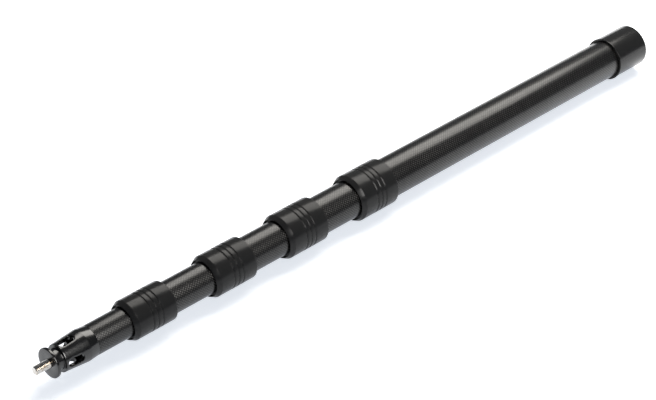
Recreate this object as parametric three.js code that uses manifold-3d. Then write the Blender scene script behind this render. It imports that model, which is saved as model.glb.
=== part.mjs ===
// Five-section telescopic boom pole for carrying a microphone, lying level along X.
// Millimetres, +Z up. The origin is the centre of the butt face and +X runs along the pole's axis to the tip.
// Each section slides inside the one behind it. A twist-lock collar at a section's front end presses
// a split collet onto the next section, which holds it at any length.
import * as THREE from "three";
import { mergeVertices } from "three/addons/utils/BufferGeometryUtils.js";
import Module from "manifold-3d";

const wasm = await Module();
wasm.setup();

// ---- Driving dimensions ----

// Every turned shape is a prism ring of this many sides. Its flats lie at the stated radius.
const SIDES = 24;

// Carbon tubes, from the largest (1) to the smallest (5).
const SECTION_COUNT = 5;
const LARGEST_TUBE_RADIUS = 23.1;
const TUBE_RADIUS_STEP = 1.6;
const TUBE_WALL = 1.1;

// Collars: where the first one starts, how long each is, and how much tube shows in front of each.
const FIRST_COLLAR_REAR = 436;
const COLLAR_LENGTH = 55;
const SHOWN_TUBE = [50.6, 47.4, 52.8, 42.7];
const COLLAPSED_GAP = 1.2;

// Radii inside a lock, counted outwards from the surface of the tube that slides through it.
const LOCK = {
  ferruleLip: 0.15,
  ferruleCone: [1.0, 2.0],
  ferruleOutside: 3.3,
  colletBore: 0.12,
  colletCone: [0.85, 1.85],
  colletNose: 1.95,
  colletFlange: 3.2,
  washerBore: 2.15,
  collarBore: 3.55,
  collarMouth: 2.25,
  collarLip: 2.75,
  collarOutside: 5.7,
};

// Places inside a lock along X, counted forwards from the collar's rear face.
const LOCK_AT = {
  ferruleRear: 0.8,
  tubeEnd: 27,
  coneRear: 30,
  ferruleFront: 40,
  colletRear: 30.3,
  flangeRear: 40.5,
  flangeFront: 43.5,
  washerRear: 43.6,
  washerFront: 44.3,
  shoulder: 44.5,
  chamferRear: 50.8,
  colletFront: 52.3,
};
const COLLAR_REAR_CHAMFER = 0.7;
const GROOVE_COUNT = 3;
const GROOVE_SPACING = 6.25;
const GROOVE_WIDTH = 2.2;
const GROOVE_DEPTH = 0.7;

// Slots that divide a collet into fingers. The first one runs the whole length, so that the ring can close.
const COLLET_SLOTS = 6;
const COLLET_SLOT_WIDTH = 1.4;

// Liner inside a tube's front end, and guide ring on a tube's rear end. The guide ring runs up against
// the liner at full reach.
const LINER_LENGTH = 55;
const LINER_BORE = 0.12;
const LINER_OUTSIDE = 0.42;
const GUIDE_RADIUS = 0.4;
const GUIDE_FLANGE = 4;
const GUIDE_SPIGOT = 10;
const GUIDE_SPIGOT_WALL = 1.3;
const BOND_GAP = 0.1;

// Rear ends of the nested sections with the pole closed: the second one, then the step to each next.
const CLOSED_REAR = 22;
const CLOSED_REAR_STEP = 15;

// Base: a cup over the first tube's rear end, screwed into an insert, with a rubber pad under it.
const PAD_RADIUS = 18;
const PAD_FRONT = 2.6;
const PAD_CHAMFER = 0.4;
const CAP = {
  rear: 0.9,
  recess: 2.9,
  recessRadius: 18.3,
  floor: 5.5,
  rearRounding: 1.5,
  outside: 25.55,
  rimRear: 49.8,
  rim: 26.1,
  front: 51.6,
  rimChamfer: 0.3,
  skirtBore: 23.45,
  spigotFront: 18.5,
  spigotOutside: 17,
  spigotBore: 13.5,
};
const SEAL = { rear: 5.8, front: 7.4, inside: 20.4, outside: 22.2 };
const INSERT = { rear: 7.6, flange: 8.9, front: 20, bore: 17.35 };

// Tip: a slotted body bonded into the fifth tube, with a disc that carries the microphone mount's stud.
const TIP = {
  spigotLength: 20,
  spigotGap: 0.1,
  bore: 11.5,
  shoulderGap: 0.2,
  rearRadius: 16.8,
  widestAt: 10.8,
  widest: 17.75,
  boreEnd: 38.5,
  bodyEnd: 40,
  bodyEndRadius: 15.4,
  neck: 12,
  discRear: 47.6,
  discFront: 51.5,
  disc: 16.5,
  discRounding: 0.6,
};
const CABLE_SLOTS = 4;
const CABLE_SLOT_WIDTH = 9.7;
const CABLE_SLOT_START = 19.1;
const CABLE_SLOT_END = 37.7;

// Stud: 3/8 inch across, as microphone mounts take.
const STUD_RADIUS = 4.7625;
const STUD_HOLE_GAP = 0.1;
const STUD_SHOWN = 17.1;
const STUD_CHAMFER = 0.9;
const STUD_REAR_GAP = 0.4;

// ---- Materials ----

function material(color, roughness, metalness) {
  return new THREE.MeshStandardMaterial({ color, roughness, metalness });
}

const MATERIALS = {
  carbon: material(0x35353a, 0.35, 0.1),
  collar: material(0x1b1b1e, 0.45, 0.6),
  cap: material(0x17171a, 0.3, 0.5),
  tip: material(0x141418, 0.3, 0.6),
  alloy: material(0x8d9096, 0.4, 0.9),
  steel: material(0xcac8c2, 0.2, 1.0),
  nylon: material(0xd8d6cc, 0.6, 0.0),
  acetal: material(0x101012, 0.55, 0.0),
  rubber: material(0x0d0d0e, 0.9, 0.0),
};

// ---- Geometry helpers ----

// A solid turned about the X axis as a prism. Its outline of [x, radius] points starts and ends on that axis,
// with the outer side running forwards, and the flats lie at the stated radii.
function turnedSolid(outline) {
  const toCorner = 1 / Math.cos(Math.PI / SIDES);
  const points = outline.map(([x, radius]) => new THREE.Vector2(radius * toCorner, x));
  return new THREE.LatheGeometry(points, SIDES, Math.PI / SIDES).rotateZ(-Math.PI / 2);
}

// A ring turned about the X axis, from a loop of points that stays clear of the axis.
function turned(outline) {
  return turnedSolid([...outline, outline[0]]);
}

// A plain tube from one x to another.
function pipe(rear, front, inside, outside) {
  return turned([
    [rear, outside],
    [front, outside],
    [front, inside],
    [rear, inside],
  ]);
}

// A geometry as a closed solid, ready for joins and cuts.
function solidFrom(geometry) {
  const bare = geometry.clone();
  bare.deleteAttribute("normal");
  bare.deleteAttribute("uv");
  const merged = mergeVertices(bare, 1e-4);
  const mesh = new wasm.Mesh({
    numProp: 3,
    vertProperties: new Float32Array(merged.attributes.position.array),
    triVerts: new Uint32Array(merged.index.array),
  });
  return new wasm.Manifold(mesh);
}

// The geometry with each of the cutters taken away.
function cut(geometry, cutters) {
  const solid = cutters.reduce((left, cutter) => left.subtract(solidFrom(cutter)), solidFrom(geometry));
  const mesh = solid.getMesh();
  const result = new THREE.BufferGeometry();
  result.setAttribute("position", new THREE.BufferAttribute(mesh.vertProperties, 3));
  result.setIndex(new THREE.BufferAttribute(mesh.triVerts, 1));
  return result;
}

const group = new THREE.Group();

function addPart(name, geometry, finish) {
  const mesh = new THREE.Mesh(geometry, finish);
  mesh.name = name;
  group.add(mesh);
}

// ---- Places worked out from the driving dimensions ----

const tubeRadius = (section) => LARGEST_TUBE_RADIUS - TUBE_RADIUS_STEP * (section - 1);

// Rear face of the collar at the front of a section. Collar 5 stands for the tip body's rear face.
function collarRear(section) {
  const shown = SHOWN_TUBE.slice(0, section - 1);
  return shown.reduce((x, length) => x + COLLAR_LENGTH + length, FIRST_COLLAR_REAR);
}

// Rear end of a nested section, which is pulled out of each section behind it by what shows of the tube.
function sectionRear(section) {
  const pulled = SHOWN_TUBE.slice(0, section - 1).reduce((sum, length) => sum + length - COLLAPSED_GAP, 0);
  return CLOSED_REAR + CLOSED_REAR_STEP * (section - 2) + pulled;
}

// ---- Tubes ----

function tube(section) {
  const outside = tubeRadius(section);
  const rear = section === 1 ? INSERT.flange + BOND_GAP : sectionRear(section) + GUIDE_FLANGE + BOND_GAP;
  const front = section === SECTION_COUNT ? collarRear(section) : collarRear(section) + LOCK_AT.tubeEnd;
  return pipe(rear, front, outside - TUBE_WALL, outside);
}

// Plastic ring bonded into a nested tube's rear end. Its flange runs in the bore of the tube around it.
function guideRing(section) {
  const rear = sectionRear(section);
  const spigot = tubeRadius(section) - TUBE_WALL - BOND_GAP;
  const bore = spigot - GUIDE_SPIGOT_WALL;
  return turned([
    [rear, tubeRadius(section) + GUIDE_RADIUS],
    [rear + GUIDE_FLANGE, tubeRadius(section) + GUIDE_RADIUS],
    [rear + GUIDE_FLANGE, spigot],
    [rear + GUIDE_FLANGE + GUIDE_SPIGOT, spigot],
    [rear + GUIDE_FLANGE + GUIDE_SPIGOT, bore],
    [rear, bore],
  ]);
}

// Thin liner bonded inside a tube's front end, in which the next tube slides.
function liner(section) {
  const sliding = tubeRadius(section + 1);
  const front = collarRear(section) + LOCK_AT.tubeEnd;
  return pipe(front - LINER_LENGTH, front, sliding + LINER_BORE, sliding + LINER_OUTSIDE);
}

// ---- Twist locks ----

// Threaded ferrule bonded over a tube's front end, with an inner lip in front of the tube
// and a cone that squeezes the collet.
function ferrule(section) {
  const sliding = tubeRadius(section + 1);
  const rear = collarRear(section);
  const tubeSeat = tubeRadius(section) + BOND_GAP;
  const lipRear = rear + LOCK_AT.tubeEnd + BOND_GAP;
  return turned([
    [rear + LOCK_AT.ferruleRear, sliding + LOCK.ferruleOutside],
    [rear + LOCK_AT.ferruleFront, sliding + LOCK.ferruleOutside],
    [rear + LOCK_AT.ferruleFront, sliding + LOCK.ferruleCone[1]],
    [rear + LOCK_AT.coneRear, sliding + LOCK.ferruleCone[0]],
    [rear + LOCK_AT.coneRear, sliding + LOCK.ferruleLip],
    [lipRear, sliding + LOCK.ferruleLip],
    [lipRear, tubeSeat],
    [rear + LOCK_AT.ferruleRear, tubeSeat],
  ]);
}

// A collet's slot: a slab beside the axis that cuts the ring on one side only.
function colletSlot(turn, rear, front, reach) {
  const slab = new THREE.BoxGeometry(front - rear, COLLET_SLOT_WIDTH, reach);
  slab.translate((rear + front) / 2, 0, reach / 2);
  return slab.rotateX(turn);
}

// Split ring that grips the next tube: a cone at the rear, a flange, and a nose in the collar's mouth.
function collet(section) {
  const sliding = tubeRadius(section + 1);
  const rear = collarRear(section);
  const ring = turned([
    [rear + LOCK_AT.colletRear, sliding + LOCK.colletCone[0]],
    [rear + LOCK_AT.ferruleFront, sliding + LOCK.colletCone[1]],
    [rear + LOCK_AT.flangeRear, sliding + LOCK.colletCone[1]],
    [rear + LOCK_AT.flangeRear, sliding + LOCK.colletFlange],
    [rear + LOCK_AT.flangeFront, sliding + LOCK.colletFlange],
    [rear + LOCK_AT.flangeFront, sliding + LOCK.colletNose],
    [rear + LOCK_AT.colletFront, sliding + LOCK.colletNose],
    [rear + LOCK_AT.colletFront, sliding + LOCK.colletBore],
    [rear + LOCK_AT.colletRear, sliding + LOCK.colletBore],
  ]);
  const reach = sliding + LOCK.collarOutside;
  const slots = [];
  for (let slot = 0; slot < COLLET_SLOTS; slot += 1) {
    const turn = Math.PI + (slot * 2 * Math.PI) / COLLET_SLOTS;
    const front = slot === 0 ? LOCK_AT.colletFront + 1 : LOCK_AT.flangeFront + 1;
    slots.push(colletSlot(turn, rear + LOCK_AT.colletRear - 1, rear + front, reach));
  }
  return cut(ring, slots);
}

function thrustWasher(section) {
  const sliding = tubeRadius(section + 1);
  const rear = collarRear(section);
  return pipe(
    rear + LOCK_AT.washerRear,
    rear + LOCK_AT.washerFront,
    sliding + LOCK.washerBore,
    sliding + LOCK.colletFlange,
  );
}

// V-shaped grip grooves round a collar, centred on its cylindrical length.
function gripGrooves(rear, outside) {
  const middle = rear + (COLLAR_REAR_CHAMFER + LOCK_AT.chamferRear) / 2;
  const points = [];
  for (let groove = 0; groove < GROOVE_COUNT; groove += 1) {
    const centre = middle + (groove - (GROOVE_COUNT - 1) / 2) * GROOVE_SPACING;
    points.push([centre - GROOVE_WIDTH / 2, outside]);
    points.push([centre, outside - GROOVE_DEPTH]);
    points.push([centre + GROOVE_WIDTH / 2, outside]);
  }
  return points;
}

// Twist-lock nut: threaded on the ferrule at the rear, with a shoulder in front that pushes on the washer.
function collar(section) {
  const sliding = tubeRadius(section + 1);
  const rear = collarRear(section);
  const front = rear + COLLAR_LENGTH;
  const outside = sliding + LOCK.collarOutside;
  return turned([
    [rear, outside - COLLAR_REAR_CHAMFER],
    [rear + COLLAR_REAR_CHAMFER, outside],
    ...gripGrooves(rear, outside),
    [rear + LOCK_AT.chamferRear, outside],
    [front, sliding + LOCK.collarLip],
    [front, sliding + LOCK.collarMouth],
    [rear + LOCK_AT.shoulder, sliding + LOCK.collarMouth],
    [rear + LOCK_AT.shoulder, sliding + LOCK.collarBore],
    [rear, sliding + LOCK.collarBore],
  ]);
}

// ---- Base ----

function buttPad() {
  return turnedSolid([
    [0, 0],
    [0, PAD_RADIUS - PAD_CHAMFER],
    [PAD_CHAMFER, PAD_RADIUS],
    [PAD_FRONT, PAD_RADIUS],
    [PAD_FRONT, 0],
  ]);
}

// Cup with a recess for the pad behind its floor, a skirt over the tube and a threaded spigot inside it.
function baseCap() {
  const rearCorner = CAP.rearRounding * (1 - Math.SQRT1_2);
  return turnedSolid([
    [CAP.recess, 0],
    [CAP.recess, CAP.recessRadius],
    [CAP.rear, CAP.recessRadius],
    [CAP.rear, CAP.outside - CAP.rearRounding],
    [CAP.rear + rearCorner, CAP.outside - rearCorner],
    [CAP.rear + CAP.rearRounding, CAP.outside],
    [CAP.rimRear, CAP.outside],
    [CAP.rimRear + CAP.rim - CAP.outside, CAP.rim],
    [CAP.front - CAP.rimChamfer, CAP.rim],
    [CAP.front, CAP.rim - CAP.rimChamfer],
    [CAP.front, CAP.skirtBore],
    [CAP.floor, CAP.skirtBore],
    [CAP.floor, CAP.spigotOutside],
    [CAP.spigotFront, CAP.spigotOutside],
    [CAP.spigotFront, CAP.spigotBore],
    [CAP.floor, CAP.spigotBore],
    [CAP.floor, 0],
  ]);
}

// Round rubber ring, squeezed between the cap's floor and the insert's flange.
function baseSeal() {
  const radius = (SEAL.front - SEAL.rear) / 2;
  const middle = { x: SEAL.rear + radius, radius: (SEAL.inside + SEAL.outside) / 2 };
  const halfWidth = (SEAL.outside - SEAL.inside) / 2;
  const outline = [];
  const steps = 8;
  for (let step = 0; step < steps; step += 1) {
    const turn = (step * 2 * Math.PI) / steps;
    outline.push([middle.x - radius * Math.cos(turn), middle.radius + halfWidth * Math.sin(turn)]);
  }
  return turned(outline);
}

// Threaded insert bonded into the first tube's rear end, with a flange that covers the tube's edge.
function baseInsert() {
  const tubeBore = LARGEST_TUBE_RADIUS - TUBE_WALL - BOND_GAP;
  return turned([
    [INSERT.rear, LARGEST_TUBE_RADIUS],
    [INSERT.flange, LARGEST_TUBE_RADIUS],
    [INSERT.flange, tubeBore],
    [INSERT.front, tubeBore],
    [INSERT.front, INSERT.bore],
    [INSERT.rear, INSERT.bore],
  ]);
}

// ---- Tip ----

const tipRear = collarRear(SECTION_COUNT);

// An oblong bar with round ends, lying along X, that cuts one cable slot outwards from the tip's bore.
function cableSlot(turn) {
  const radius = CABLE_SLOT_WIDTH / 2;
  const straight = CABLE_SLOT_END - CABLE_SLOT_START - CABLE_SLOT_WIDTH;
  const outline = new THREE.Shape();
  outline.absarc(straight / 2, 0, radius, -Math.PI / 2, Math.PI / 2, false);
  outline.absarc(-straight / 2, 0, radius, Math.PI / 2, (3 * Math.PI) / 2, false);
  const settings = { depth: TIP.widest, bevelEnabled: false, curveSegments: 8 };
  const bar = new THREE.ExtrudeGeometry(outline, settings);
  bar.translate(tipRear + (CABLE_SLOT_START + CABLE_SLOT_END) / 2, 0, TIP.neck / 2);
  return bar.rotateX(turn);
}

// Slotted body, neck and disc in one piece, with a spigot that is bonded into the fifth tube.
function tipBody() {
  const spigot = tubeRadius(SECTION_COUNT) - TUBE_WALL - TIP.spigotGap;
  const studHole = STUD_RADIUS + STUD_HOLE_GAP;
  const outline = [
    [-TIP.spigotLength, spigot],
    [TIP.shoulderGap, spigot],
    [TIP.shoulderGap, TIP.rearRadius],
    [TIP.widestAt, TIP.widest],
    [TIP.bodyEnd, TIP.bodyEndRadius],
    [TIP.bodyEnd, TIP.neck],
    [TIP.discRear, TIP.neck],
    [TIP.discRear, TIP.disc - TIP.discRounding],
    [TIP.discRear + TIP.discRounding, TIP.disc],
    [TIP.discFront - TIP.discRounding, TIP.disc],
    [TIP.discFront, TIP.disc - TIP.discRounding],
    [TIP.discFront, studHole],
    [TIP.boreEnd, studHole],
    [TIP.boreEnd, TIP.bore],
    [-TIP.spigotLength, TIP.bore],
  ];
  const body = turned(outline.map(([along, radius]) => [tipRear + along, radius]));
  const slots = [];
  for (let slot = 0; slot < CABLE_SLOTS; slot += 1) {
    slots.push(cableSlot((slot * 2 * Math.PI) / CABLE_SLOTS));
  }
  return cut(body, slots);
}

function tipStud() {
  const rear = tipRear + TIP.boreEnd + STUD_REAR_GAP;
  const front = tipRear + TIP.discFront + STUD_SHOWN;
  return turnedSolid([
    [rear, 0],
    [rear, STUD_RADIUS],
    [front - STUD_CHAMFER, STUD_RADIUS],
    [front, STUD_RADIUS - STUD_CHAMFER],
    [front, 0],
  ]);
}

// ---- Assembly ----

addPart("butt_pad", buttPad(), MATERIALS.rubber);
addPart("base_cap", baseCap(), MATERIALS.cap);
addPart("base_o_ring", baseSeal(), MATERIALS.rubber);
addPart("base_insert", baseInsert(), MATERIALS.alloy);

for (let section = 1; section <= SECTION_COUNT; section += 1) {
  addPart(`tube_${section}`, tube(section), MATERIALS.carbon);
  if (section > 1) {
    addPart(`guide_ring_${section}`, guideRing(section), MATERIALS.nylon);
  }
  if (section < SECTION_COUNT) {
    addPart(`liner_${section}`, liner(section), MATERIALS.nylon);
    addPart(`ferrule_${section}`, ferrule(section), MATERIALS.alloy);
    addPart(`collet_${section}`, collet(section), MATERIALS.acetal);
    addPart(`thrust_washer_${section}`, thrustWasher(section), MATERIALS.nylon);
    addPart(`collar_${section}`, collar(section), MATERIALS.collar);
  }
}

addPart("tip_body", tipBody(), MATERIALS.tip);
addPart("tip_stud", tipStud(), MATERIALS.steel);

export default group;
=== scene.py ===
"""The looks of a telescopic boom pole, built round its CAD frame. Metres, +X along the pole, +Z up."""
import bmesh
import bpy
import math
from mathutils import Matrix, Vector


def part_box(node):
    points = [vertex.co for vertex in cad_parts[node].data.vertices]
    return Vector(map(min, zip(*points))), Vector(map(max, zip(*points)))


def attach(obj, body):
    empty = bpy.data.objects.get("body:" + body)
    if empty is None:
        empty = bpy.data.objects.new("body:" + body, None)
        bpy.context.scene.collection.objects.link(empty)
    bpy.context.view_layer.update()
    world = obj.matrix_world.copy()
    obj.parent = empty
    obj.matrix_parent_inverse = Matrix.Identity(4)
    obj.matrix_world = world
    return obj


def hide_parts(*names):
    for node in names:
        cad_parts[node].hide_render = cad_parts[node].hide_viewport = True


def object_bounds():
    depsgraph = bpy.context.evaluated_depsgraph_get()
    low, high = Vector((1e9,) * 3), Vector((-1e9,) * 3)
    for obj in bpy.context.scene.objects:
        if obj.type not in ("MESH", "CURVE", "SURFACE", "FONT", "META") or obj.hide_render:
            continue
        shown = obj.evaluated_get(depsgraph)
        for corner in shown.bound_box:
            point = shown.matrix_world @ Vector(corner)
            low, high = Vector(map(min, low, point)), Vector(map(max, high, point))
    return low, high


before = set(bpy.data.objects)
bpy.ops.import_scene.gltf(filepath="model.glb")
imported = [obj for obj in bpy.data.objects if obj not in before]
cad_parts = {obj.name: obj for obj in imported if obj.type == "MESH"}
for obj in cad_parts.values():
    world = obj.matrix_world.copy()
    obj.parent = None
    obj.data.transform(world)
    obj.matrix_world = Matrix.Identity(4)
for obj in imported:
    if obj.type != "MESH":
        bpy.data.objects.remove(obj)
cad_low, cad_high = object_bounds()

MM = 0.001

# How finely turned shapes are made, and how many steps a rounded edge takes.
AROUND = 160
ROUND_STEPS = 4
SHARP_ANGLE = math.radians(32)

SECTIONS = 5
LOCKS = range(1, SECTIONS)

# The weave: the width of one tow of fibre. A tube holds a whole, even number of them round its surface.
TOW = 1.75 * MM

# Where the camera stands and looks, for a lens of LENS millimetres.
CAMERA_PLACE = Vector((1.798, 1.320, 1.260))
CAMERA_DIRECTION = Vector((-0.5758, -0.5945, -0.5613))
LENS = 112.5


# ---- Outlines ----
# An outline is a list of (x, radius, edge) points. The edge is 1 on a rounded corner and 0 elsewhere.

def corner_arc(before, corner, after, rounding):
    """The points that round off one corner of an outline."""
    back = (before - corner).normalized()
    ahead = (after - corner).normalized()
    half = back.angle(ahead) / 2
    if half > math.radians(89):
        return [(*corner, 1.0)]
    reach = rounding / math.tan(half)
    centre = corner + (back + ahead).normalized() * (rounding / math.sin(half))
    start = corner + back * reach - centre
    end = corner + ahead * reach - centre
    turn = start.angle_signed(end)
    points = []
    for step in range(ROUND_STEPS + 1):
        arm = start.copy()
        arm.rotate(Matrix.Rotation(-turn * step / ROUND_STEPS, 2))
        points.append((*(centre + arm), 1.0))
    return points


def outline(corners, closed=True):
    """An outline from corners of (x, radius) or (x, radius, rounding)."""
    places = [Vector(corner[:2]) for corner in corners]
    points = []
    for index, corner in enumerate(corners):
        at_end = not closed and index in (0, len(corners) - 1)
        if len(corner) < 3 or at_end:
            points.append((*places[index], 0.0))
            continue
        before = places[index - 1]
        after = places[(index + 1) % len(places)]
        points.extend(corner_arc(before, places[index], after, corner[2]))
    return [Vector(point) for point in points]


# ---- Mesh helpers ----

def finish_mesh(mesh):
    """Outward faces, smooth shading and sharp edges where the surface turns."""
    work = bmesh.new()
    work.from_mesh(mesh)
    bmesh.ops.remove_doubles(work, verts=work.verts, dist=1e-7)
    bmesh.ops.recalc_face_normals(work, faces=work.faces)
    for face in work.faces:
        face.smooth = True
    work.to_mesh(mesh)
    work.free()
    mesh.set_sharp_from_angle(angle=SHARP_ANGLE)


def new_piece(name, mesh, body, slot, material, *nodes):
    """Puts a mesh in the scene as a piece that rides on a body and stands for its CAD nodes."""
    piece = bpy.data.objects.new(name, mesh)
    bpy.context.scene.collection.objects.link(piece)
    mesh.materials.append(material)
    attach(piece, body)
    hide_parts(*nodes)
    return piece


def ring_points(x, radius, around):
    """A circle of points round the X axis."""
    turns = (2 * math.pi * step / around for step in range(around))
    return [(x, radius * math.sin(turn), radius * math.cos(turn)) for turn in turns]


def turned_mesh(name, points, closed=True, around=AROUND):
    """A surface turned about the X axis.
    Its UV map "turned" is (length along the outline, share of a turn), and its face attribute "edge" marks
    rounded edges."""
    loop = [*points, points[0]] if closed else points
    vertices = []
    rings = []
    lengths = [0.0]
    for index, point in enumerate(loop):
        if index:
            lengths.append(lengths[-1] + (point.xy - loop[index - 1].xy).length)
        first = len(vertices)
        if point.y < 1e-9:
            vertices.append((point.x, 0.0, 0.0))
            rings.append([first] * around)
        else:
            vertices.extend(ring_points(point.x, point.y, around))
            rings.append(list(range(first, first + around)))
    faces = []
    maps = []
    edges = []
    for low in range(len(loop) - 1):
        high = low + 1
        for step in range(around):
            after = (step + 1) % around
            corners = [
                (rings[low][step], lengths[low], step),
                (rings[high][step], lengths[high], step),
                (rings[high][after], lengths[high], step + 1),
                (rings[low][after], lengths[low], step + 1),
            ]
            kept = [corner for i, corner in enumerate(corners) if corner[0] != corners[i - 1][0]]
            faces.append([corner[0] for corner in kept])
            maps.extend((corner[1], corner[2] / around) for corner in kept)
            edges.append(loop[low].z * loop[high].z)
    mesh = bpy.data.meshes.new(name)
    mesh.from_pydata(vertices, [], faces)
    layer = mesh.uv_layers.new(name="turned")
    for corner, place in zip(layer.data, maps):
        corner.uv = place
    mesh.attributes.new("edge", "FLOAT", "FACE").data.foreach_set("value", edges)
    finish_mesh(mesh)
    return mesh


# ---- Sizes taken from the frame ----

def span(node):
    """Where a CAD node starts and ends along the pole, and its largest radius."""
    low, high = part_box(node)
    return low.x, high.x, high.z


def sliding_radius(lock):
    """The radius of the tube that slides through a lock."""
    return span(f"tube_{lock + 1}")[2]


# A tube's wall, and the bond line between glued pieces.
WALL = 1.1 * MM
BOND_GAP = 0.1 * MM

# Radii inside a lock, counted outwards from the surface of the tube that slides through it.
# The running fit is the bore of the collet and of the liner.
LOCK = {
    "running_fit": 0.12 * MM,
    "ferrule_lip": 0.15 * MM,
    "collet_tail": 0.85 * MM,
    "ferrule_cone": 1.0 * MM,
    "collet_cone": 1.85 * MM,
    "collet_nose": 1.95 * MM,
    "ferrule_mouth": 2.0 * MM,
    "washer_bore": 2.15 * MM,
    "collar_mouth": 2.25 * MM,
    "collar_lip": 2.75 * MM,
    "collar_bore": 3.55 * MM,
}

# A collar's inside shoulder, from its rear face, and a collet's cone and flange, from the collet's rear.
SHOULDER_AT = 44.5 * MM
CONE_END = 9.7 * MM
FLANGE_REAR = 10.2 * MM
FLANGE_FRONT = 13.2 * MM

# The length of a ferrule's cone, its rear land and the pitch of its thread.
FERRULE_CONE_LENGTH = 10 * MM
FERRULE_LAND = 3 * MM
FERRULE_PITCH = 2 * MM

# A guide ring's flange length and the wall of its spigot.
GUIDE_FLANGE = 4 * MM
GUIDE_WALL = 1.3 * MM


# ---- Materials ----

class Shader:
    """A material's node tree, with short calls to add and join nodes."""

    def __init__(self, name):
        self.material = bpy.data.materials.new(name)
        self.material.use_nodes = True
        self.tree = self.material.node_tree
        self.surface = self.tree.nodes["Principled BSDF"]

    def node(self, kind, inputs=None, **settings):
        made = self.tree.nodes.new("ShaderNode" + kind)
        for name, value in settings.items():
            setattr(made, name, value)
        for name, value in (inputs or {}).items():
            self.feed(made.inputs[name], value)
        return made

    def feed(self, socket, value):
        if isinstance(value, bpy.types.NodeSocket):
            self.tree.links.new(value, socket)
        else:
            socket.default_value = value

    def math(self, operation, first, second=0.0):
        return self.node("Math", {0: first, 1: second}, operation=operation).outputs[0]

    def mix(self, share, first, second):
        """A number between two others."""
        return self.node("Mix", {0: share, 2: first, 3: second}, data_type="FLOAT").outputs[0]

    def blend(self, share, first, second):
        """A colour between two others."""
        return self.node("Mix", {0: share, 6: first, 7: second}, data_type="RGBA").outputs[2]

    def ramp(self, value, low, high, start=0.0, end=1.0):
        made = self.node("MapRange", {0: value, 1: low, 2: high, 3: start, 4: end})
        return made.outputs[0]

    def noise(self, scale, detail, stretch=(1.0, 1.0, 1.0)):
        """Noise in the object's coordinates, with its grain drawn out along an axis by a small stretch."""
        place = self.node("TexCoord").outputs["Object"]
        moved = self.node("Mapping", {"Vector": place, "Scale": stretch})
        made = self.node("TexNoise", {"Vector": moved.outputs[0], "Scale": scale, "Detail": detail})
        return made.outputs["Fac"]

    def bump(self, height, depth, strength):
        made = self.node("Bump", {"Height": height, "Distance": depth, "Strength": strength})
        self.feed(self.surface.inputs["Normal"], made.outputs[0])

    def set(self, **values):
        for name, value in values.items():
            self.feed(self.surface.inputs[name.replace("_", " ")], value)


def grey(level, tint=(1.0, 1.0, 1.0)):
    return (*(level * part for part in tint), 1.0)


def stretch_highlight(shader, amount, rotation):
    """Draws highlights out along the pole for a rotation of 0.25, as marks that run round it do.
    A rotation of 0 draws them out round it."""
    tangent = shader.node("Tangent", direction_type="RADIAL", axis="X")
    shader.set(Anisotropic=amount, Anisotropic_Rotation=rotation, Tangent=tangent.outputs[0])


def carbon(name, radius):
    """Plain-weave carbon under a clear coat. Tows run along the tube and round it, and cross over and under.
    A tow that runs round the tube throws light along it, and the other way about."""
    shader = Shader(name)
    tows_round = 2 * round(math.pi * radius / TOW)
    place = shader.node("UVMap", uv_map="turned").outputs[0]
    parts = shader.node("SeparateXYZ", {0: place})
    along = shader.math("DIVIDE", parts.outputs[0], TOW)
    around = shader.math("MULTIPLY", parts.outputs[1], float(tows_round))
    crossing = shader.math("ADD", shader.math("FLOOR", along), shader.math("FLOOR", around))
    hoop_on_top = shader.math("MODULO", crossing, 2.0)
    across_axial = shader.math("SINE", shader.math("MULTIPLY", shader.math("FRACT", around), math.pi))
    across_hoop = shader.math("SINE", shader.math("MULTIPLY", shader.math("FRACT", along), math.pi))
    over = shader.mix(hoop_on_top, across_hoop, across_axial)
    across = shader.mix(hoop_on_top, across_axial, across_hoop)
    height = shader.math("MULTIPLY", shader.math("POWER", over, 0.5), shader.math("POWER", across, 0.4))
    axial_fibre = shader.noise(700.0, 2.0, (0.05, 1.0, 1.0))
    hoop_fibre = shader.noise(700.0, 2.0, (1.0, 0.05, 0.05))
    fibre = shader.mix(hoop_on_top, axial_fibre, hoop_fibre)
    batch = shader.noise(14.0, 3.0, (2.0, 1.0, 1.0))
    # Hoop tows get a lighter, warmer colour than axial tows of the same fibre: a painted highlight on the
    # hoop tows.
    tow = shader.blend(hoop_on_top, grey(0.01), grey(0.045, (1.0, 0.98, 0.94)))
    shaded = shader.blend(shader.ramp(fibre, 0.3, 0.7, 0.0, 0.5), tow, grey(0.006))
    # Where the weave dips between and under tows it is painted darker: painted shade in the weave's hollows.
    hollow_shade = shader.blend(shader.ramp(height, 0.2, 0.7), grey(0.004), shaded)
    shader.set(
        Base_Color=shader.blend(shader.ramp(batch, 0.35, 0.65, 0.0, 0.4), hollow_shade, grey(0.01)),
        Roughness=shader.mix(hoop_on_top, 0.5, 0.45),
        Metallic=1.0,
        Coat_Weight=1.0,
        Coat_Roughness=0.25,
        Coat_IOR=1.38,
    )
    stretch_highlight(shader, 0.8, shader.mix(hoop_on_top, 0.0, 0.25))
    shader.bump(height, 0.08 * MM, 0.5)
    return shader.material


def anodised(name, level, roughness, shine, hoops):
    """Black anodised alloy: fine grain and faint cloudiness, with the edges a little polished by handling
    and painted lighter: a painted highlight along the edges, with some wear.
    Fine turning marks run round it, as strong as hoops says. The grain is the stronger the rougher it is."""
    shader = Shader(name)
    cloud = shader.noise(14.0, 4.0)
    speck = shader.noise(2600.0, 2.0)
    edge = shader.node("Attribute", attribute_name="edge").outputs["Fac"]
    surface = shader.blend(shader.ramp(cloud, 0.3, 0.7), grey(level), grey(level * 1.6))
    clouded = shader.ramp(cloud, 0.3, 0.7, roughness - 0.04, roughness + 0.04)
    # The rounded edges are painted four times lighter: a painted highlight, with some handling wear. They
    # are glossier too.
    shader.set(
        Base_Color=shader.blend(edge, surface, grey(level * 4)),
        Roughness=shader.mix(edge, clouded, min(roughness, 0.22)),
        Specular_IOR_Level=shine,
    )
    if hoops:
        stretch_highlight(shader, hoops, 0.25)
    shader.bump(speck, 0.02 * MM, roughness)
    return shader.material


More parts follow.
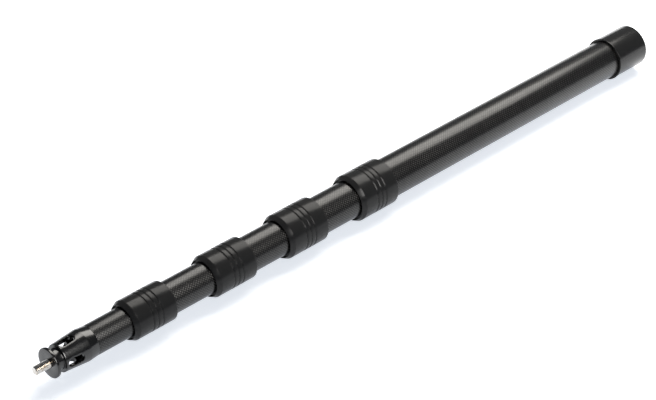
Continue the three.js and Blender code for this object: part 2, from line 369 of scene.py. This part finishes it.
def bright_alloy():
    """Clear anodised aluminium, as turned."""
    shader = Shader("bright_alloy")
    marks = shader.noise(80.0, 3.0, (60.0, 0.4, 0.4))
    shader.set(
        Base_Color=shader.blend(marks, grey(0.5), grey(0.66)),
        Roughness=shader.ramp(marks, 0.3, 0.7, 0.25, 0.4),
        Metallic=1.0,
    )
    stretch_highlight(shader, 0.5, 0.25)
    shader.bump(marks, 0.02 * MM, 0.5)
    return shader.material


def steel():
    """Bright turned steel with faint brown patches of painted reflection."""
    shader = Shader("stud_steel")
    marks = shader.noise(300.0, 3.0, (0.3, 1.0, 1.0))
    # Where this noise is high the steel is painted brown: a painted reflection.
    brown_reflection = shader.noise(240.0, 3.0)
    shader.set(
        Base_Color=shader.blend(
            shader.ramp(brown_reflection, 0.45, 0.7, 0.0, 0.6), grey(0.62, (1.0, 0.97, 0.92)), (0.40, 0.30, 0.20, 1.0)
        ),
        Roughness=shader.ramp(marks, 0.3, 0.7, 0.12, 0.26),
        Metallic=1.0,
    )
    shader.bump(marks, 0.02 * MM, 0.4)
    return shader.material


def plastic(name, colour, roughness):
    """A matt moulded or turned plastic with a fine grain."""
    shader = Shader(name)
    grain = shader.noise(1500.0, 3.0)
    cloud = shader.noise(30.0, 2.0)
    darker = tuple(part * 0.8 for part in colour[:3]) + (1.0,)
    shader.set(
        Base_Color=shader.blend(shader.ramp(cloud, 0.3, 0.7), colour, darker),
        Roughness=shader.ramp(grain, 0.3, 0.7, roughness - 0.06, roughness + 0.06),
    )
    shader.bump(grain, 0.03 * MM, 0.4)
    return shader.material


MATERIALS = {
    "collar": anodised("collar_black", 0.006, 0.66, 0.14, 0.2),
    "cap": anodised("cap_black", 0.004, 0.2, 0.28, 0.0),
    "tip": anodised("tip_black", 0.004, 0.17, 0.6, 0.0),
    "alloy": bright_alloy(),
    "steel": steel(),
    "nylon": plastic("nylon", (0.72, 0.70, 0.63, 1.0), 0.55),
    "acetal": plastic("acetal_black", (0.008, 0.008, 0.009, 1.0), 0.5),
    "rubber": plastic("rubber_black", (0.012, 0.012, 0.012, 1.0), 0.75),
}


# ---- Pieces ----

def tube(section):
    """One carbon tube, open at both ends, with crisp cut edges."""
    rear, front, radius = span(f"tube_{section}")
    edge = 0.15 * MM
    points = outline([
        (rear, radius, edge),
        (front, radius, edge),
        (front, radius - WALL, edge),
        (rear, radius - WALL, edge),
    ])
    mesh = turned_mesh(f"carbon_tube_{section}", points)
    material = carbon(f"carbon_{section}", radius)
    new_piece(f"carbon_tube_{section}", mesh, f"section_{section}", "carbon", material, f"tube_{section}")


GROOVES = 3
GROOVE_SPACING = 6.25 * MM
GROOVE_WIDTH = 2.2 * MM
GROOVE_DEPTH = 0.7 * MM
CHAMFER_LENGTH = 5.2 * MM
REAR_CHAMFER = 1.6 * MM


def collar_grooves(middle, radius):
    """The grip grooves: V-shaped, with soft edges."""
    corners = []
    for groove in range(GROOVES):
        centre = middle + (groove - (GROOVES - 1) / 2) * GROOVE_SPACING
        corners.append((centre - GROOVE_WIDTH / 2, radius, 0.25 * MM))
        corners.append((centre, radius - GROOVE_DEPTH, 0.2 * MM))
        corners.append((centre + GROOVE_WIDTH / 2, radius, 0.25 * MM))
    return corners


def collar(lock):
    """A twist-lock collar: chamfered ends, three grip grooves and a deep mouth."""
    rear, front, radius = span(f"collar_{lock}")
    sliding = sliding_radius(lock)
    shoulder = rear + SHOULDER_AT
    middle = (rear + REAR_CHAMFER + front - CHAMFER_LENGTH) / 2
    bore = sliding + LOCK["collar_bore"]
    mouth = sliding + LOCK["collar_mouth"]
    points = outline([
        (rear, radius - REAR_CHAMFER, 0.3 * MM),
        (rear + REAR_CHAMFER, radius, 0.5 * MM),
        *collar_grooves(middle, radius),
        (front - CHAMFER_LENGTH, radius, 0.5 * MM),
        (front, sliding + LOCK["collar_lip"], 0.2 * MM),
        (front, mouth, 0.2 * MM),
        (shoulder, mouth),
        (shoulder, bore),
        (rear, bore, 0.3 * MM),
    ])
    mesh = turned_mesh(f"lock_collar_{lock}", points)
    name = f"collar_{lock}"
    new_piece(f"lock_{name}", mesh, name, "collar", MATERIALS["collar"], name)


def cut_mesh(mesh, cutters):
    """A mesh with boxes taken out of it. Each cutter is (size, centre, turn about the X axis)."""
    base = bpy.data.objects.new("cut_base", mesh)
    bpy.context.scene.collection.objects.link(base)
    tools = []
    for size, centre, turn in cutters:
        bpy.ops.mesh.primitive_cube_add(size=1.0)
        tool = bpy.context.object
        tool.scale = size
        tool.rotation_euler = (turn, 0.0, 0.0)
        tool.location = centre
        tools.append(tool)
        modifier = base.modifiers.new("cut", "BOOLEAN")
        modifier.object = tool
        modifier.solver = "EXACT"
    bpy.context.view_layer.update()
    graph = bpy.context.evaluated_depsgraph_get()
    result = bpy.data.meshes.new_from_object(base.evaluated_get(graph))
    result.name = mesh.name + "_cut"
    for used in (base, *tools):
        bpy.data.objects.remove(used)
    return result


COLLET_SLOTS = 6
COLLET_SLOT_WIDTH = 1.4 * MM

# How far a cutter reaches past the surface it cuts.
OVERCUT = 1 * MM


def collet(lock):
    """The split collet: its slotted cone and flange are inside the lock, and its nose shows in the mouth.
    The first slot splits the nose too."""
    rear, front, flange = span(f"collet_{lock}")
    sliding = sliding_radius(lock)
    bore = sliding + LOCK["running_fit"]
    nose = sliding + LOCK["collet_nose"]
    cone = sliding + LOCK["collet_cone"]
    flange_rear = rear + FLANGE_REAR
    flange_front = rear + FLANGE_FRONT
    points = outline([
        (rear, sliding + LOCK["collet_tail"]),
        (rear + CONE_END, cone),
        (flange_rear, cone),
        (flange_rear, flange, 0.2 * MM),
        (flange_front, flange, 0.2 * MM),
        (flange_front, nose),
        (front, nose, 0.4 * MM),
        (front, bore, 0.3 * MM),
        (rear, bore),
    ])
    mesh = turned_mesh(f"split_collet_{lock}", points, around=96)
    reach = flange + OVERCUT
    cutters = []
    for slot in range(COLLET_SLOTS):
        turn = math.pi + slot * 2 * math.pi / COLLET_SLOTS
        end = front + OVERCUT if slot == 0 else flange_front + OVERCUT
        length = end - rear + OVERCUT
        centre = Vector((end - length / 2, -math.sin(turn) * reach / 2, math.cos(turn) * reach / 2))
        cutters.append(((length, COLLET_SLOT_WIDTH, reach), centre, turn))
    mesh = cut_mesh(mesh, cutters)
    mesh.materials.clear()
    mesh.set_sharp_from_angle(angle=SHARP_ANGLE)
    name = f"collet_{lock}"
    new_piece(f"split_{name}", mesh, name, "acetal", MATERIALS["acetal"], name)


def simple_ring(name, node, body, slot, corners, closed=True):
    """A turned piece with its outline given directly."""
    mesh = turned_mesh(name, outline(corners, closed), closed)
    new_piece(name, mesh, body, slot, MATERIALS[slot], node)


def lock_insides(lock):
    """Ferrule, thrust washer and liner of one lock."""
    sliding = sliding_radius(lock)
    outer_tube = span(f"tube_{lock}")
    rear, front, thread = span(f"ferrule_{lock}")
    seat = outer_tube[2] + BOND_GAP
    lip_rear = outer_tube[1] + BOND_GAP
    cone_rear = front - FERRULE_CONE_LENGTH
    body = f"section_{lock}"
    root_radius = thread - 0.9 * MM
    crest_radius = thread - 0.1 * MM
    crests = []
    for turn in range(int((front - rear - 3 * FERRULE_PITCH) / FERRULE_PITCH)):
        crest = rear + 2 * FERRULE_PITCH + turn * FERRULE_PITCH
        crests.append((crest, root_radius))
        crests.append((crest + 0.8 * MM, crest_radius))
        crests.append((crest + 1.2 * MM, crest_radius))
    simple_ring(f"threaded_ferrule_{lock}", f"ferrule_{lock}", body, "alloy", [
        (rear, thread, 0.3 * MM),
        (rear + FERRULE_LAND, thread, 0.2 * MM),
        *crests,
        (front, root_radius),
        (front, sliding + LOCK["ferrule_mouth"]),
        (cone_rear, sliding + LOCK["ferrule_cone"]),
        (cone_rear, sliding + LOCK["ferrule_lip"]),
        (lip_rear, sliding + LOCK["ferrule_lip"]),
        (lip_rear, seat),
        (rear, seat),
    ])
    rear, front, radius = span(f"thrust_washer_{lock}")
    simple_ring(f"washer_{lock}", f"thrust_washer_{lock}", f"collet_{lock}", "nylon", [
        (rear, radius, 0.1 * MM),
        (front, radius, 0.1 * MM),
        (front, sliding + LOCK["washer_bore"]),
        (rear, sliding + LOCK["washer_bore"]),
    ])
    rear, front, radius = span(f"liner_{lock}")
    simple_ring(f"tube_liner_{lock}", f"liner_{lock}", body, "nylon", [
        (rear, radius),
        (front, radius),
        (front, sliding + LOCK["running_fit"]),
        (rear, sliding + LOCK["running_fit"]),
    ])


def guide_ring(section):
    """The plastic ring on a nested tube's rear end."""
    rear, front, flange = span(f"guide_ring_{section}")
    spigot = span(f"tube_{section}")[2] - WALL - BOND_GAP
    bore = spigot - GUIDE_WALL
    flange_front = rear + GUIDE_FLANGE
    simple_ring(f"tube_guide_{section}", f"guide_ring_{section}", f"section_{section}", "nylon", [
        (rear, flange, 0.3 * MM),
        (flange_front, flange),
        (flange_front, spigot),
        (front, spigot),
        (front, bore),
        (rear, bore, 0.5 * MM),
    ])


def base_cap():
    """The cap over the butt: recess for the pad, spigot for the insert and a slightly larger front rim."""
    rear, front, rim = span("base_cap")
    side = rim - 0.55 * MM
    rim_foot = front - 1.9 * MM
    rim_rear = front - 1.3 * MM
    skirt = 23.45 * MM
    recess = 2.9 * MM
    recess_radius = 18.3 * MM
    floor_front = 5.5 * MM
    spigot = 17 * MM
    spigot_front = 18.5 * MM
    spigot_bore = 13.5 * MM
    simple_ring("butt_cap", "base_cap", "base_cap", "cap", [
        (recess, 0.0),
        (recess, recess_radius),
        (rear, recess_radius, 0.3 * MM),
        (rear, side, 1.5 * MM),
        (rim_foot, side, 0.3 * MM),
        (rim_rear, rim, 0.3 * MM),
        (front, rim, 0.35 * MM),
        (front, skirt, 0.3 * MM),
        (floor_front, skirt),
        (floor_front, spigot),
        (spigot_front, spigot, 0.4 * MM),
        (spigot_front, spigot_bore, 0.4 * MM),
        (floor_front, spigot_bore),
        (floor_front, 0.0),
    ], closed=False)


def rubber_pad():
    """The pad on the butt, with three shallow channels round it."""
    _, front, pad_radius = span("butt_pad")
    depth = 0.45 * MM
    half_top = 0.6 * MM
    half_floor = 0.25 * MM
    edge = 0.15 * MM
    channels = []
    for radius in (6 * MM, 9.5 * MM, 13 * MM):
        channels.append((0.0, radius - half_top, edge))
        channels.append((depth, radius - half_floor, edge))
        channels.append((depth, radius + half_floor, edge))
        channels.append((0.0, radius + half_top, edge))
    simple_ring("rubber_pad", "butt_pad", "base_cap", "rubber", [
        (0.0, 0.0),
        *channels,
        (0.0, pad_radius, 0.5 * MM),
        (front, pad_radius),
        (front, 0.0),
    ], closed=False)


def o_ring():
    """The seal between the cap and the insert, a little squeezed along the pole."""
    rear, front, outside = span("base_o_ring")
    half_length = (front - rear) / 2
    half_height = 0.9 * MM
    middle = outside - half_height
    steps = 16
    ring = []
    for step in range(steps):
        turn = step * math.pi / (steps / 2)
        x = rear + half_length - half_length * math.cos(turn)
        ring.append((x, middle + half_height * math.sin(turn)))
    simple_ring("o_ring", "base_o_ring", "cap_seal", "rubber", ring)


def base_insert():
    """The insert bonded into the butt of tube 1."""
    rear, front, flange = span("base_insert")
    flange_front = rear + 1.3 * MM
    body = 21.9 * MM
    bore = 17.35 * MM
    simple_ring("threaded_insert", "base_insert", "section_1", "alloy", [
        (rear, flange, 0.2 * MM),
        (flange_front, flange),
        (flange_front, body),
        (front, body, 0.3 * MM),
        (front, bore, 0.3 * MM),
        (rear, bore, 0.3 * MM),
    ])


# ---- Tip ----

SLOT_SIDES = 4
SLOT_HALF_WIDTH = 4.85 * MM
SLOT_REAR = 19.1 * MM
SLOT_FRONT = 37.7 * MM
PATCH_REAR = 17.4 * MM
PATCH_FRONT = 38.6 * MM
PATCH_AROUND = 24
PATCH_ALONG = 20
SLOT_EDGE = 0.6 * MM
SLOT_EDGE_STEPS = 4
TIP_BORE = 11.5 * MM


def patch_border():
    """Points round a slot's patch as (x, turn), each -1 to 1, in order and without a repeat."""
    across = [-1 + 2 * step / PATCH_AROUND for step in range(PATCH_AROUND)]
    along = [-1 + 2 * step / PATCH_ALONG for step in range(PATCH_ALONG)]
    return (
        [(-1.0, turn) for turn in across]
        + [(x, 1.0) for x in along]
        + [(1.0, -turn) for turn in across]
        + [(-x, -1.0) for x in along]
    )


def slot_reach(direction):
    """How far a slot's rim is from its centre in a direction, both as (along, across)."""
    straight = (SLOT_FRONT - SLOT_REAR) / 2 - SLOT_HALF_WIDTH
    x, y = abs(direction[0]), abs(direction[1])
    if y * straight > SLOT_HALF_WIDTH * x:
        return SLOT_HALF_WIDTH / y
    middle = straight * x
    return middle + math.sqrt(max(0.0, middle * middle - straight * straight + SLOT_HALF_WIDTH ** 2))


def slot_patch(tip_rear, radius_at, turn_offset, rise):
    """A quarter of the barrel's outer or inner wall round one slot, from the rim outwards.
    rise gives how far the surface lies from radius_at at a distance from the rim."""
    centre = tip_rear + (SLOT_REAR + SLOT_FRONT) / 2
    rows = []
    for x_share, turn_share in patch_border():
        x_end = tip_rear + (PATCH_REAR + PATCH_FRONT) / 2 + x_share * (PATCH_FRONT - PATCH_REAR) / 2
        turn_end = turn_share * math.pi / SLOT_SIDES
        across_end = radius_at(x_end) * turn_end
        reach_end = math.hypot(x_end - centre, across_end)
        direction = ((x_end - centre) / reach_end, across_end / reach_end)
        rim = slot_reach(direction)
        left = reach_end - rim
        row = []
        turns = [step * math.pi / (2 * SLOT_EDGE_STEPS) for step in range(SLOT_EDGE_STEPS + 1)]
        steps = [SLOT_EDGE * (1 - math.cos(turn)) for turn in turns]
        steps += [SLOT_EDGE + (left - SLOT_EDGE) * share for share in (0.33, 0.66, 1.0)]
        for step in steps:
            share = (rim + step) / reach_end
            x = centre + (x_end - centre) * share
            turn = turn_end * share + turn_offset
            radius = radius_at(x) - rise(step)
            row.append((x, radius * math.sin(turn), radius * math.cos(turn)))
        rows.append(row)
    return rows


def edge_rise(step):
    """How far a slot's rounded edge lies below the wall, at a distance from the rim."""
    if step >= SLOT_EDGE:
        return 0.0
    return SLOT_EDGE - math.sqrt(SLOT_EDGE ** 2 - (SLOT_EDGE - step) ** 2)


def inner_edge_rise(step):
    """The same on the bore's side, where the edge is half as deep."""
    return -edge_rise(step) * 0.5


def add_strip(vertices, faces, rows):
    """Adds a band of faces across rows of points, with the last row joined to the first."""
    base = len(vertices)
    width = len(rows[0])
    for row in rows:
        vertices.extend(row)
    for index in range(len(rows)):
        after = (index + 1) % len(rows)
        for step in range(width - 1):
            a = base + index * width + step
            b = base + after * width + step
            faces.append([a, a + 1, b + 1, b])


def turned_rows(points):
    """An outline turned about the X axis, as rows that meet the points of the slots' patches."""
    around = PATCH_AROUND * SLOT_SIDES
    start = math.pi / SLOT_SIDES
    turns = [2 * math.pi * step / around + start for step in range(around)]
    rows = []
    for turn in turns:
        rows.append([(point.x, point.y * math.sin(turn), point.y * math.cos(turn)) for point in points])
    return rows


def tip_barrel_mesh():
    """Tip body: tapered barrel with four oblong slots, neck and disc."""
    rear = span("tube_5")[1]
    spigot_rear = rear - 20 * MM
    shoulder = rear + 0.2 * MM
    widest = rear + 10.8 * MM
    patch_rear = rear + PATCH_REAR
    patch_front = rear + PATCH_FRONT
    bore_end = rear + 38.65 * MM
    body_end = rear + 40 * MM
    disc_rear = rear + 47.6 * MM
    disc_front = rear + 51.5 * MM

    spigot = 15.5 * MM
    shoulder_radius = 16.8 * MM
    widest_radius = 17.75 * MM
    end_radius = 15.4 * MM
    neck = 12 * MM
    disc = 16.5 * MM
    stud_hole = 4.8625 * MM

    def outer(x):
        return widest_radius + (end_radius - widest_radius) * (x - widest) / (body_end - widest)

    vertices = []
    faces = []
    for slot in range(SLOT_SIDES):
        offset = slot * math.pi / 2
        outside = slot_patch(rear, outer, offset, edge_rise)
        inside = slot_patch(rear, lambda x: TIP_BORE, offset, inner_edge_rise)
        wall = [[one[0], two[0]] for one, two in zip(outside, inside)]
        for rows in (outside, inside, wall):
            add_strip(vertices, faces, rows)
    behind_slots = outline([
        (patch_rear, TIP_BORE),
        (spigot_rear, TIP_BORE, 0.4 * MM),
        (spigot_rear, spigot, 0.4 * MM),
        (shoulder, spigot),
        (shoulder, shoulder_radius, 0.3 * MM),
        (widest, widest_radius, 4 * MM),
        (patch_rear, outer(patch_rear)),
    ], closed=False)
    before_slots = outline([
        (patch_front, outer(patch_front)),
        (body_end, end_radius, 0.5 * MM),
        (body_end, neck, 0.4 * MM),
        (disc_rear, neck, 0.4 * MM),
        (disc_rear, disc, 1.3 * MM),
        (disc_front, disc, 0.8 * MM),
        (disc_front, stud_hole, 0.3 * MM),
        (bore_end, stud_hole),
        (bore_end, TIP_BORE),
        (patch_front, TIP_BORE),
    ], closed=False)
    for points in (behind_slots, before_slots):
        add_strip(vertices, faces, turned_rows(points))
    mesh = bpy.data.meshes.new("slotted_tip")
    mesh.from_pydata(vertices, [], faces)
    finish_mesh(mesh)
    return mesh


THREAD_PITCH = 25.4 * MM / 16
THREAD_DEPTH = 0.85 * MM


def thread_profile(phase):
    """How deep the thread is cut at a phase from 0 to 1: flat crest, straight flanks, narrow root."""
    flank = 0.44
    crest = 0.06
    away = abs(phase % 1.0 - 0.5) * 2
    return THREAD_DEPTH * min(1.0, max(0.0, (away - crest) / (flank * 2)))


def stud_mesh():
    """The threaded stud, with a true helix, a chamfered end and a turned dimple."""
    rear, front, radius = span("tip_stud")
    around = 72
    rows_per_pitch = 12
    chamfer = 0.9 * MM
    dimple = 0.25 * MM
    count = int((front - rear) / THREAD_PITCH * rows_per_pitch)
    vertices = []
    for row in range(count + 1):
        x = rear + (front - rear) * row / count
        limit = radius - max(0.0, x - (front - chamfer))
        for step in range(around):
            turn = 2 * math.pi * step / around
            cut = thread_profile((x - rear) / THREAD_PITCH + step / around)
            r = min(limit, radius - cut)
            vertices.append((x, r * math.sin(turn), r * math.cos(turn)))
    faces = []
    for row in range(count):
        for step in range(around):
            after = (step + 1) % around
            low = row * around
            high = low + around
            faces.append([low + step, high + step, high + after, low + after])
    ends = ((0, rear), (count * around, front - dimple))
    for first, x in ends:
        centre = len(vertices)
        vertices.append((x, 0.0, 0.0))
        for step in range(around):
            after = (step + 1) % around
            faces.append([first + step, first + after, centre])
    mesh = bpy.data.meshes.new("threaded_stud")
    mesh.from_pydata(vertices, [], faces)
    finish_mesh(mesh)
    return mesh


def tip_pieces():
    new_piece("slotted_tip", tip_barrel_mesh(), "section_5", "tip", MATERIALS["tip"], "tip_body")
    new_piece("threaded_stud", stud_mesh(), "section_5", "steel", MATERIALS["steel"], "tip_stud")


# ---- Camera, light and floor ----

def camera():
    data = bpy.data.cameras.new("camera")
    data.lens = LENS
    data.sensor_width = 36.0
    data.clip_end = 50.0
    seen = bpy.data.objects.new("camera", data)
    seen.location = CAMERA_PLACE
    seen.rotation_mode = "QUATERNION"
    seen.rotation_quaternion = CAMERA_DIRECTION.to_track_quat("-Z", "Y")
    bpy.context.scene.collection.objects.link(seen)
    bpy.context.scene.camera = seen


def softbox(name, place, target, size, power, colour):
    """A rectangular light whose first side is level and whose face is turned to the target."""
    data = bpy.data.lights.new(name, "AREA")
    data.shape = "RECTANGLE"
    data.size, data.size_y = size
    data.energy = power
    data.color = colour
    light = bpy.data.objects.new(name, data)
    light.location = place
    light.rotation_mode = "QUATERNION"
    light.rotation_quaternion = (Vector(target) - Vector(place)).to_track_quat("-Z", "Y")
    bpy.context.scene.collection.objects.link(light)
    return light


def studio():
    """A large softbox overhead behind the pole, and one on the camera's side that only adds highlights."""
    softbox("overhead", (-0.57, -0.36, 1.5), (-0.486, -0.178, 0.0), (1.9, 1.2), 50.0, (1.0, 0.97, 0.92))
    kicker = softbox("kicker", (0.85, 1.26, 1.06), (0.7, 0.0, 0.0), (0.6, 1.0), 38.0, (1.0, 0.98, 0.95))
    kicker.visible_diffuse = False
    world = bpy.data.worlds.new("studio")
    bpy.context.scene.world = world
    world.use_nodes = True
    background = world.node_tree.nodes["Background"]
    background.inputs["Color"].default_value = (0.85, 0.90, 1.0, 1.0)
    background.inputs["Strength"].default_value = 0.15
    bpy.context.scene.view_settings.view_transform = "Standard"


def floor():
    """White paper on a light table, whose own glow keeps shadows faint."""
    level = cad_low.z
    middle = 0.4
    reach = 2.2
    mesh = bpy.data.meshes.new("table_top")
    low_x = middle - reach
    high_x = middle + reach
    corners = [(low_x, -reach), (high_x, -reach), (high_x, reach), (low_x, reach)]
    mesh.from_pydata([(x, y, level) for x, y in corners], [], [[0, 1, 2, 3]])
    top = bpy.data.objects.new("table_top", mesh)
    bpy.context.scene.collection.objects.link(top)
    shader = Shader("white_paper")
    fibre = shader.noise(400.0, 3.0)
    shader.set(
        Base_Color=shader.blend(fibre, grey(0.80), grey(0.84)),
        Roughness=0.9,
        Specular_IOR_Level=0.0,
        Emission_Color=(0.69, 0.725, 0.775, 1.0),
        Emission_Strength=1.0,
    )
    mesh.materials.append(shader.material)


camera()
studio()
floor()
for number in range(1, SECTIONS + 1):
    tube(number)
    if number > 1:
        guide_ring(number)
for number in LOCKS:
    collar(number)
    collet(number)
    lock_insides(number)
base_cap()
rubber_pad()
o_ring()
base_insert()
tip_pieces()
